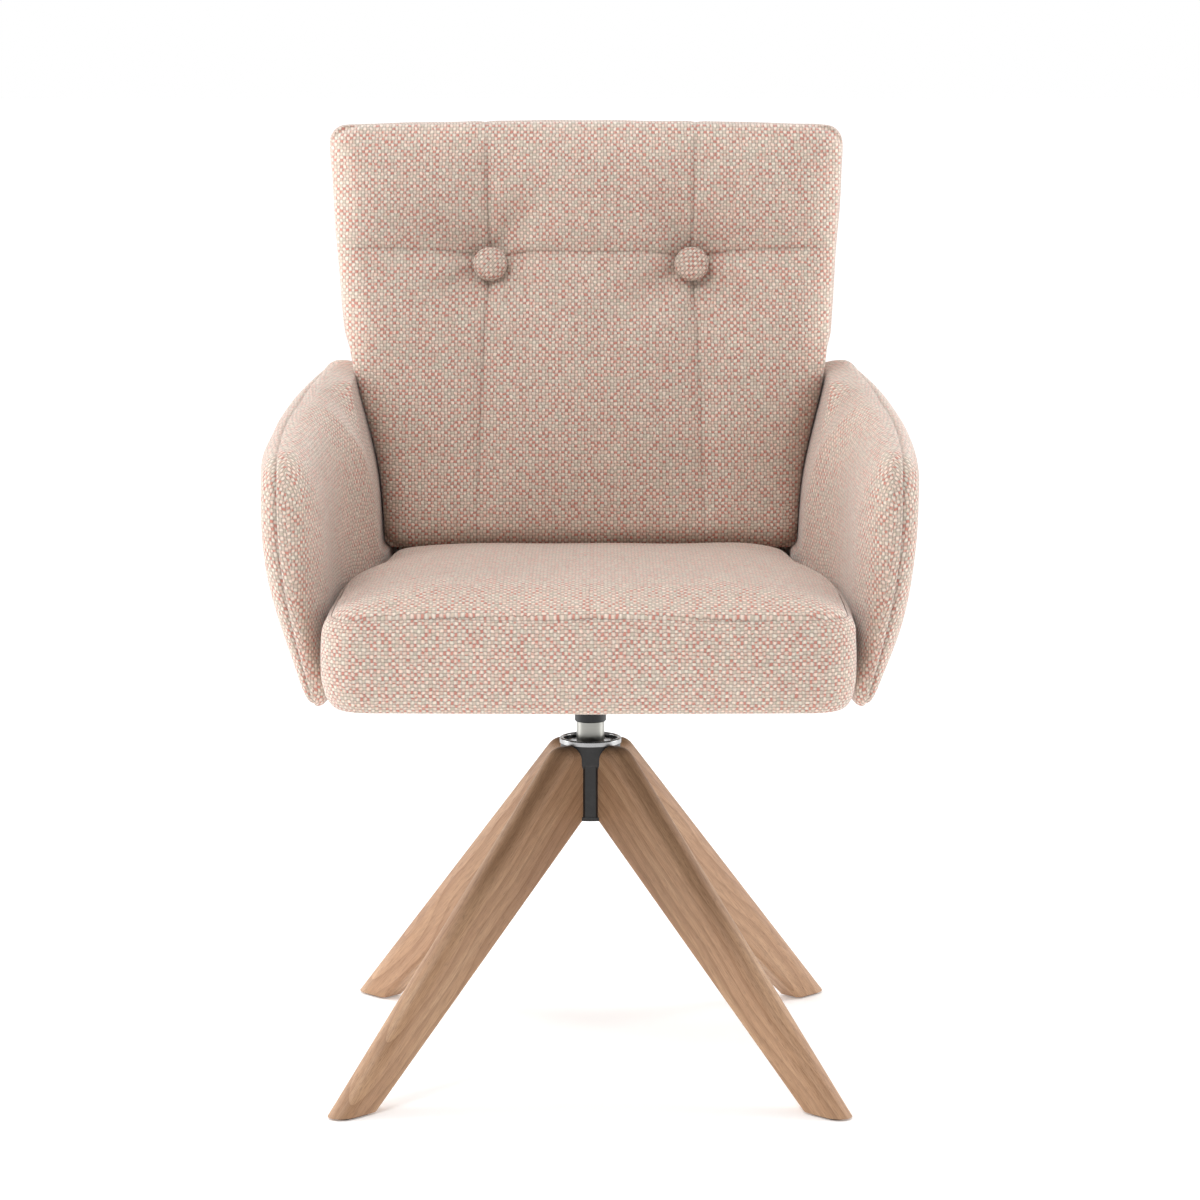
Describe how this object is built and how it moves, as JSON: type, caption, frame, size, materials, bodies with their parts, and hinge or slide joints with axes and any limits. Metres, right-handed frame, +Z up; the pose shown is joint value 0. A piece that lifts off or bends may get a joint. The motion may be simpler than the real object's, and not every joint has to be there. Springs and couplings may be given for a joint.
{
  "type": "upholstered swivel armchair",
  "caption": "Padded fabric armchair with a buttoned back that swivels on a cross base of splayed oak legs joined at a black metal hub.",
  "frame": {"origin": "on the floor, on the swivel axis, at the centre of the cross base", "axes": "+Z up; the sitter faces -Y; +X is the sitter's left and the viewer's right when the chair is seen from the front"},
  "size_m": [0.5922, 0.6062, 0.891],
  "materials": {
    "oak": "oiled satin",
    "black_cast": "satin",
    "bright_chrome": "polished",
    "column_steel": "brushed",
    "bearing_steel": "ground",
    "zinc_fastener": "zinc plated",
    "black_plastic": "fine grain",
    "painted_plate": "powder coat",
    "glide_felt": "felt",
    "frame_timber": "sawn",
    "plywood": "sanded",
    "webbing": "elastic weave",
    "dust_cloth": "non-woven",
    "upholstery": "basket weave",
    "twine": "waxed cord"
  },
  "bodies": {
    "base": {"leg_front_left": "oak", "leg_front_right": "oak", "leg_rear_left": "oak", "leg_rear_right": "oak", "hub_casting": "black_cast", "hub_ring": "bright_chrome", "hub_bottom_cap": "black_plastic", "leg_bolts": "zinc_fastener", "leg_inserts": "zinc_fastener", "foot_glides": "glide_felt", "upper_bearing_outer_ring": "bearing_steel", "lower_bearing_outer_ring": "bearing_steel"},
    "seat": {"upper_bearing_inner_ring": "bearing_steel", "upper_bearing_balls": "bearing_steel", "lower_bearing_inner_ring": "bearing_steel", "lower_bearing_balls": "bearing_steel", "swivel_column": "column_steel", "column_thrust_washer": "bright_chrome", "spindle_washer": "zinc_fastener", "spindle_nut": "zinc_fastener", "column_collar": "black_plastic", "seat_plate": "painted_plate", "seat_plate_bolts": "zinc_fastener", "seat_tee_nuts": "zinc_fastener", "seat_cross_rails": "frame_timber", "seat_rail_front": "frame_timber", "seat_rail_rear": "frame_timber", "seat_rail_left": "frame_timber", "seat_rail_right": "frame_timber", "seat_webbing_long": "webbing", "seat_webbing_cross": "webbing", "dust_cover": "dust_cloth", "seat_cushion": "upholstery", "arm_panel_left": "plywood", "arm_panel_right": "plywood", "arm_spacers": "frame_timber", "arm_bolts": "zinc_fastener", "arm_pad_left": "upholstery", "arm_pad_right": "upholstery", "back_cushion": "upholstery", "back_panel": "plywood", "back_screws": "zinc_fastener", "back_outer_pad": "upholstery", "back_button_left": "upholstery", "back_button_right": "upholstery", "button_twines": "twine", "button_toggles": "black_plastic"}
  },
  "joints": [
    {"name": "seat_swivel", "type": "hinge", "parent": "base", "child": "seat", "pos_m": [0, 0, 0.3], "axis": [0, 0, 1], "continuous": true}
  ]
}
